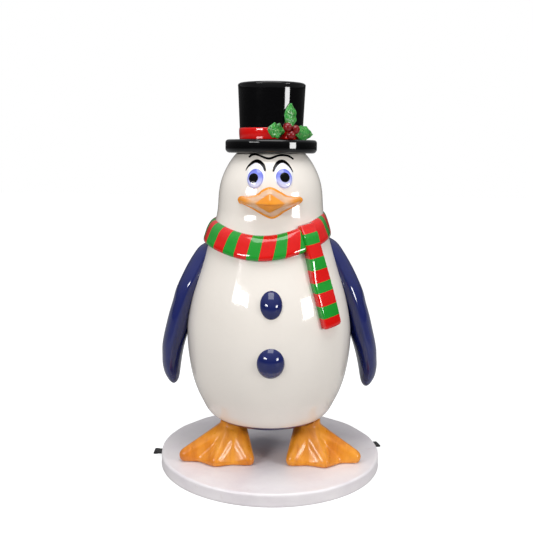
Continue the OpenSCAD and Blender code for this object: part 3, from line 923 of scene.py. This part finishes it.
def oval_relief(spot, half_w, half_h, levels, height_of, back_at, cols):
    """A closed oval: rings of points at levels from the centre (0) to the rim (1), and a back."""
    turns = [2 * math.pi * k / cols for k in range(cols)]
    verts = [spot(0, 0, height_of(0))]
    for t in levels:
        verts += [spot(half_w * t * math.cos(a), half_h * t * math.sin(a), height_of(t)) for a in turns]
    verts += [spot(half_w * math.cos(a), half_h * math.sin(a), back_at) for a in turns]
    verts.append(spot(0, 0, back_at))
    faces = []
    for k in range(cols):
        m = (k + 1) % cols
        faces.append((0, 1 + k, 1 + m))
    for i in range(len(levels)):
        a, b = 1 + i * cols, 1 + (i + 1) * cols
        faces += [(a + k, b + k, b + (k + 1) % cols, a + (k + 1) % cols) for k in range(cols)]
    back = 1 + len(levels) * cols
    faces += [(back + k, back + cols, back + (k + 1) % cols) for k in range(cols)]
    return verts, faces


def dome(name, turn, h, half_w, half_h, height_of, material, slot, nodes):
    """An oval relief on the body; height_of gives its height from the centre (0) to the rim (1)."""

    def spot(x, up, out):
        return patch_point(turn, h, x, up, out)

    levels = [math.sin(math.pi / 2 * (i + 1) / 22) for i in range(22)]
    verts, faces = oval_relief(spot, half_w, half_h, levels, height_of, -0.2, 72)
    return piece(name, verts, faces, [material], "statue", slot, nodes)


def button_height(depth):
    return lambda t: depth * max(0.0, 1 - t * t) ** 0.85


dome("button_upper_paint", 1, 517, 32, 40, button_height(19), BUTTON, "button_blue", ["button_upper"])
dome("button_lower_paint", 1, 350, 40, 45, button_height(23), BUTTON, "button_blue", ["button_lower"])

FACE_TURN = -1.5
EYE_TURN = 16.4  # each eyeball's middle, left and right of the face's middle
EYE_H = 881.0
EYE_HALF = (28.0, 40.0)
EYES = [("left", -52.4, 871.0, -56.2, 872.4), ("right", 30.4, 872.0, 31.8, 875.5)]


def turn_at(x, h):
    """The turn of a point on the body that lies at x mm from the plinth's centre."""
    return math.degrees(math.asin((x - AXIS_X) / body_r(h)))


def eye_height(t):
    return 6.0 * max(0.0, 1 - t * t) ** 0.6


def ball_height(x, up):
    return eye_height(math.hypot(x / EYE_HALF[0], up / EYE_HALF[1]))


def eye(side, iris_x, iris_h, pupil_x, pupil_h):
    """An eyeball with a painted iris and pupil that follow its curve."""
    turn = FACE_TURN + (EYE_TURN if side == "right" else -EYE_TURN)
    white = f"eye_{side}_white"
    dome(white, turn, EYE_H, *EYE_HALF, eye_height, EYEBALL, "eye_enamel", [f"eye_{side}"])
    for name, cx, ch, half_w, half_h, rise, material in (
        ("iris", iris_x, iris_h, 24.0, 28.0, 0.5, iris_material(iris_h)),
        ("pupil", pupil_x, pupil_h, 15.2, 15.4, 1.0, LINE),
    ):
        dx = math.radians(turn_at(cx, ch) - turn) * body_r(ch)
        rings, cols = 14, 64

        def spot(x, up, lift):
            across, above = dx + x, ch + up - EYE_H
            return patch_point(turn, EYE_H, across, above, ball_height(across, above) + lift)

        def paint_height(t):
            return rise * (1 - t**8)

        levels = [(i + 1) / rings for i in range(rings)]
        verts, faces = oval_relief(spot, half_w, half_h, levels, paint_height, -0.4, cols)
        disc = piece(f"eye_{side}_{name}", verts, faces, [material], "statue", "eye_enamel")
        ring = disc.data.attributes.new("ring", "FLOAT", "POINT")
        ring.data.foreach_set("value", [0.0] + [(i // cols + 1) / rings for i in range(len(verts) - 1)])


for side, *values in EYES:
    eye(side, *values)


def stroke(name, points, widths):
    """A painted line in low relief on the face, through (x, h) points with a width at each."""
    rise, steps = 0.7, 110
    path = curve_through([(x, h, w) for (x, h), w in zip(points, widths)], steps)
    along = np.concatenate([[0], np.cumsum(np.linalg.norm(np.diff(path[:, :2], axis=0), axis=1))])
    cols = 10
    verts = []
    for i, (x, h, w) in enumerate(path):
        d = path[min(i + 1, steps - 1)][:2] - path[max(i - 1, 0)][:2]
        d /= np.linalg.norm(d)
        side = np.array([-d[1], d[0]])
        from_end = min(1.0, 2 * min(along[i], along[-1] - along[i]) / w)
        half = max(0.3, w / 2 * math.sqrt(1 - (1 - from_end) ** 2))
        for k in range(cols):
            a = 2 * math.pi * k / cols
            px, ph = x + side[0] * half * math.cos(a), h + side[1] * half * math.cos(a)
            turn = turn_at(px, ph)
            lift = 0.0
            for s in (-1, 1):
                across = math.radians(turn - (FACE_TURN + s * EYE_TURN)) * body_r(ph)
                lift = max(lift, ball_height(across, ph - EYE_H))
            verts.append(on_body(turn, ph, lift + rise * math.sin(a) + 0.1))
    faces = rings_faces(steps, cols, cap_start=True, cap_end=True)
    return piece(name, verts, faces, [LINE], "statue", "hat_black")


stroke(
    "lid_line_left",
    [(-81, 893), (-76, 903), (-67, 912), (-56, 919.5), (-46, 921), (-36, 916), (-28, 906), (-24, 892)],
    [1.8, 4.2, 7, 9.6, 10.4, 10, 8.4, 4.5],
)
stroke(
    "lid_line_right",
    [(-1, 891), (4, 905), (12, 916), (21, 921), (31, 920), (42, 912), (50, 902), (57, 890)],
    [4, 8, 10, 10, 9, 6.8, 5, 2],
)
stroke(
    "brow_line",
    [(-73, 931), (-65, 938), (-54, 940.5), (-38, 936), (-24, 930.5), (-11, 929), (2, 933.5), (16, 938),
     (33, 938.5), (46, 935.5), (59, 927)],
    [5.6, 6.4, 6.4, 6, 6.2, 6.8, 6.4, 6, 6, 6, 5],
)

# -------- bill

BILL_OUTLINE = [
    (87, 810), (82, 818), (73, 820), (43, 823), (21, 835), (-7, 848), (-30, 841), (-49, 826),
    (-73, 819.5), (-91, 820), (-100, 817), (-104, 808), (-99, 799), (-88, 796), (-63, 785), (-29, 766),
    (-5, 757), (14, 763), (35, 777), (64, 792), (80, 801),
]
BILL_CENTRE = (-10.0, 806.5)


def bill():
    """A broad flared bill: concave walls run out from the head to a blunt diamond-shaped front."""
    cx, ch = BILL_CENTRE
    ring = sorted(BILL_OUTLINE, key=lambda q: math.atan2(q[1] - ch, q[0] - cx))
    dense = curve_through([ring[-1]] + ring + ring[:3], 1200)
    angle = np.unwrap(np.arctan2(dense[:, 1] - ch, dense[:, 0] - cx))
    reach = np.hypot(dense[:, 0] - cx, dense[:, 1] - ch)
    order = np.argsort(angle)
    angle, reach = angle[order], reach[order]

    def outline_reach(a):
        while a < angle[0]:
            a += 2 * math.pi
        while a > angle[-1]:
            a -= 2 * math.pi
        return float(np.interp(a, angle, reach))

    def even_angles(start, end, count):
        """Angles between two limits, spread evenly along the outline."""
        fine = np.linspace(start, end, 1500)
        spots = np.array([(outline_reach(a) * math.cos(a), outline_reach(a) * math.sin(a)) for a in fine])
        s = np.concatenate([[0], np.cumsum(np.linalg.norm(np.diff(spots, axis=0), axis=1))])
        return np.interp(np.linspace(0, s[-1], count), s, fine)

    def inner_reach(a):
        """The blunt front's diamond, softened at its corners."""
        c, s = abs(math.cos(a)), abs(math.sin(a))
        half_w = 37.0 if math.cos(a) > 0 else 35.0
        half_h = 28.0 if math.sin(a) > 0 else 27.0
        return 1.0 / ((c / half_w) ** 1.15 + (s / half_h) ** 1.15) ** (1 / 1.15)

    wall, nose, cap_steps, half = 48.0, 63.0, 14, 91
    edge_rows = [0, 0.4, 0.9, 1.6, 3.0, 4.2]
    rim, last_edge = edge_rows[-1], len(edge_rows) - 1
    rim_steps = len(edge_rows) + 18
    rows = rim_steps + cap_steps + 1

    def build(upper):
        verts, painted_reflection = [], []
        angles = even_angles(0.0, math.pi, half) if upper else even_angles(math.pi, 2 * math.pi, half)
        for i in range(rows):
            for a in angles:
                ro = outline_reach(a)
                ri = min(inner_reach(a), ro * 0.8)
                sideways = abs(math.cos(a)) ** 5
                if i <= rim_steps:
                    if i <= last_edge:
                        inward = edge_rows[i]
                    else:
                        inward = rim + (ro - ri - rim) * (i - last_edge) / (rim_steps - last_edge)
                    rad = ro - inward
                    t = max(0.0, min(1.0, (inward - rim) / (ro - ri - rim)))
                    flare = t**1.2 * (1 - sideways) + (1 - (1 - t) ** 1.5) * sideways
                    depth = 3.4 * math.sqrt(1 - (1 - min(1.0, inward / 1.8)) ** 2) + (wall - 3.4) * flare
                else:
                    t = (i - rim_steps) / cap_steps
                    rad = ri * (1 - t)
                    depth = wall + (nose - wall) * math.sin(math.pi / 2 * t) ** 0.9
                x = cx + rad * math.cos(a)
                h = ch + rad * math.sin(a)
                setback = 0.0
                if not upper:
                    setback = 13.0 * math.exp(-(((x - cx) / 22.0) ** 2)) * min(1.0, depth / 40.0)
                base_turn = turn_at(x, h)
                side = math.sin(math.radians(base_turn))
                out = Vector((0.35 * side, -1.0, -0.08)).normalized()
                verts.append(on_body(base_turn, h) + out * (depth - setback) * MM)
                # mask of the painted reflection on the walls, fading out towards the bill's corners
                wall_part = ease((t - 0.02) / 0.2) * ease((1.04 - t) / 0.16) if i <= rim_steps else 0.0
                painted_reflection.append(wall_part * ease((72 - abs(x - cx)) / 30))
        return verts, painted_reflection

    for upper, name, node in ((True, "bill_upper", "beak_upper"), (False, "bill_lower", "beak_lower")):
        verts, painted_reflection = build(upper)
        faces = rings_faces(rows, half, wrap_cols=False)
        # close the half bill: a back wall just inside the head and the mouth plane
        inside = Vector((0, 0.004, 0))
        back = [len(verts) + k for k in range(half)]
        verts += [verts[k] + inside for k in range(half)]
        centre_back = len(verts)
        verts.append(sum((verts[b] for b in back), Vector()) / len(back) + inside)
        for k in range(half - 1):
            faces.append((k, k + 1, back[k + 1], back[k]))
            faces.append((back[k], back[k + 1], centre_back))
        mouth_a = [i * half for i in range(rows)]
        mouth_b = [i * half + half - 1 for i in range(rows)]
        faces.append(tuple(mouth_a + mouth_b[-2::-1] + [back[-1], centre_back, back[0]]))
        obj = piece(name, verts, faces, [BILL], "statue", "orange_paint", [node])
        # the painted reflection's mask, stored for the bill material
        paint = obj.data.attributes.new("painted_reflection", "FLOAT", "POINT")
        paint.data.foreach_set("value", painted_reflection + [0.0] * (len(verts) - len(painted_reflection)))
        bm = bmesh.new()
        bm.from_mesh(obj.data)
        bmesh.ops.remove_doubles(bm, verts=bm.verts, dist=0.00002)
        bmesh.ops.recalc_face_normals(bm, faces=bm.faces)
        bm.to_mesh(obj.data)
        bm.free()


bill()

# -------- hat

BRIM_TOP = BRIM_H + BRIM_T + BASE_T


def hat():
    low = BRIM_H + BASE_T
    profile = [(60, low), (100, low)] + round_corner((127, low + 13), 13, -90, 0, 10)
    profile += round_corner((131, BRIM_TOP - 9), 9, 0, 90, 9)
    profile += [(115, BRIM_TOP), (100, BRIM_TOP), (60, BRIM_TOP)]
    lathe("hat_brim_paint", profile, 160, [BLACK], "hat_black", ["hat_brim"])
    top = BRIM_TOP + 168
    wall = [(94.5 - 5, BRIM_TOP + 0.2), (98.0, BRIM_TOP + 0.2)]
    wall += [(95.2 + 7.1 * t, BRIM_TOP + 4 + 156 * t) for t in [k / 12 for k in range(13)]]
    wall += round_corner((95.8, top - 7), 7, 0, 90, 8)
    wall += [(80, top - 1.2), (50, top - 1.6), (0, top - 1.8), (0, top - 6), (97, top - 7)]
    lathe("hat_crown_paint", wall, 160, [BLACK], "hat_black", ["hat_crown"])
    band_low = BRIM_TOP + 0.5
    band = [(94.6, band_low), (96.6, band_low)]
    for k in range(9):
        t = k / 8
        up = 2 + 30 * t
        band.append((94.5 + 8 * up / 168 + 2.2 + 0.9 * math.sin(math.pi * t), band_low + up))
    band += [(97.6, band_low + 34), (96.0, band_low + 34)]
    lathe("hat_band_paint", band, 160, [BAND], "band_red", ["hat_band"])


hat()


def hat_point(turn, h, along, up, off, lean=0.0):
    """A point on a plane that faces turn, at distance off from the hat's axis."""
    a, b = math.radians(turn), math.radians(lean)
    x = along * math.cos(b) - up * math.sin(b)
    z = along * math.sin(b) + up * math.cos(b)
    return to_world(x * math.cos(a) + off * math.sin(a), x * math.sin(a) - off * math.cos(a), h + z)


def holly_leaf(name, node, turn, h, lean, off, length, width, lobes, seed):
    """A leaf with points along its edge, a raised midrib and veins."""
    rows, cols = 44, 21
    front, back = [], []
    for i in range(rows):
        front.append([])
        back.append([])
        t = i / (rows - 1)
        half = width / 2 * math.sin(math.pi * min(0.985, max(0.012, t))) ** 0.62
        half *= 1 + lobes * math.cos(2 * math.pi * 3 * t)
        for k in range(cols):
            u = 2 * k / (cols - 1) - 1
            rib = 1.6 * math.exp(-((u * half / 2.0) ** 2))
            vein = 0.7 * math.cos(2 * math.pi * (t * 7 - abs(u) * 1.1)) * min(1, 3 * abs(u)) * (1 - abs(u))
            cup = 5.2 * (1 - 0.75 * u * u) + 1.6 * math.sin(2 * math.pi * 3 * t + seed) * abs(u) ** 2
            grain = 0.8 * noise.noise(Vector((u * half * 0.16, t * length * 0.16, seed)))
            lift = 1.5 + cup + rib + vein + grain
            front[i].append(hat_point(turn, h, u * half, length * t, off + lift, lean))
            back[i].append(hat_point(turn, h, u * half, length * t, off + 0.2 + 0.4 * cup, lean))
    verts, faces = closed_shell(front, back)
    return piece(name, verts, faces, [LEAF], "statue", "holly_green", [node])


LEAF_OFF = 103.5
holly_leaf("holly_leaf_top_paint", "holly_leaf_top", 33, 1014, 0, LEAF_OFF - 4, 75, 42, 0.03, 1.0)
holly_leaf("holly_leaf_left_paint", "holly_leaf_left", 21, 1006, 82, LEAF_OFF - 1, 53, 44, 0.09, 2.0)
holly_leaf("holly_leaf_right_paint", "holly_leaf_right", 40, 1009, -97, LEAF_OFF - 1, 71, 43, 0.06, 3.0)


def berries():
    rows, cols = 22, 32
    verts, faces = [], []
    for n, (x, h) in enumerate(((-22, 1019), (5, 1013), (-10, 997))):
        start = len(verts)
        for i in range(rows):
            b = math.pi * (i + 0.5) / rows
            for k in range(cols):
                a = 2 * math.pi * k / cols
                d = Vector((math.sin(b) * math.cos(a), math.sin(b) * math.sin(a), math.cos(b)))
                front = Vector((0.1 * (n - 1), 0.25, -1)).normalized()
                dimple = 0.9 * math.exp(-(((1 - (-d).dot(Vector((0.1, 1, 0.2)).normalized())) / 0.03) ** 2))
                r = 13.6 + 0.25 * noise.noise(d * 2.5 + Vector((n * 7, 0, 0))) - dimple
                verts.append(hat_point(31, h, x + r * d.x, r * d.z, LEAF_OFF + 23 - r * d.y))
        faces += rings_faces(rows, cols, cap_start=True, cap_end=True, start=start)
    return piece("holly_berries_paint", verts, faces, [BERRY], "statue", "berry_red", ["holly_berries"])


berries()

# -------- tie-down straps


def strap(side, turn):
    """Doubled webbing that leaves the plinth's rim."""
    a = math.radians(turn)
    pivot = PLINTH_R + 2.2
    half_w = 19.0
    web = 1.7
    stations = list(np.linspace(-17, 8, 14)) + list(np.linspace(9.5, 22.5, 12))

    def half_at(s):
        return web + 0.1 if s < 9 else web + 0.1 + 1.9 * math.sin(math.pi / 2 * min(1, (s - 9) / 9))

    def at(s, y, z):
        """A point at s out from the pivot, y across the webbing and at height z."""
        r = pivot + s
        return Vector((r * math.cos(a) - y * math.sin(a), r * math.sin(a) + y * math.cos(a), z)) * MM

    outline = [(s, half_at(s)) for s in stations]
    nose = half_at(22.5)
    for k in range(1, 8):
        b = math.pi / 2 - math.pi * k / 8
        outline.append((22.3 + nose * math.cos(b), nose * math.sin(b)))
    outline += [(s, -half_at(s)) for s in reversed(stations)]
    across = np.linspace(-half_w, half_w, 13)
    verts = []
    for y in across:
        thin = 1 - 0.35 * (abs(y) / half_w) ** 12
        verts += [at(s, y, STRAP_Z + z * thin) for s, z in outline]
    faces = rings_faces(len(across), len(outline), cap_start=True, cap_end=True)
    obj = piece(f"strap_{side}_webbing", verts, faces, [WEBBING], None, "webbing")
    start, end = at(-2.4, 0, STRAP_Z), at(3.5, 0, STRAP_Z)
    tuple(start)
    tuple(end)
    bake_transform(obj)
    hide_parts(f"strap_loop_{side}")
    return obj


for side, turn in STRAP_TURNS.items():
    strap(side, turn)

# -------- carried-over CAD nodes

CARRIED = {
    "base_board_upper": PLYWOOD, "base_board_lower": PLYWOOD,
    "leg_post_left": STEEL, "leg_post_right": STEEL, "cross_brace_lower": STEEL, "cross_brace_upper": STEEL,
    "flange_bolts": ZINC, "flange_washers": ZINC, "flange_nuts": ZINC, "strap_screws": ZINC,
    "strap_anchor_left": WEBBING, "strap_anchor_right": WEBBING,
}
for node_name, material in CARRIED.items():
    node_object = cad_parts[node_name]
    node_object.data.materials.clear()
    node_object.data.materials.append(material)

# -------- floor


def make_floor():
    n = Nodes("studio_floor")
    n.colour(n.ramp(n.noise(2.0, 2.0), (0.3, (0.40, 0.40, 0.40, 1)), (0.7, (0.44, 0.44, 0.44, 1))))
    n.set(Roughness=0.6)
    n.bsdf.inputs["Emission Color"].default_value = (1, 1, 1, 1)
    seen = n.add("ShaderNodeLightPath")
    n.link(n.scaled(seen.outputs["Is Camera Ray"], 0.0, 0.85), n.bsdf.inputs["Emission Strength"])
    mesh = bpy.data.meshes.new("floor")
    s = 14.0
    mesh.from_pydata([(-s, -s, 0), (s, -s, 0), (s, s, 0), (-s, s, 0)], [], [(0, 1, 2, 3)])
    mesh.materials.append(n.material)
    add_object("floor", mesh)


make_floor()
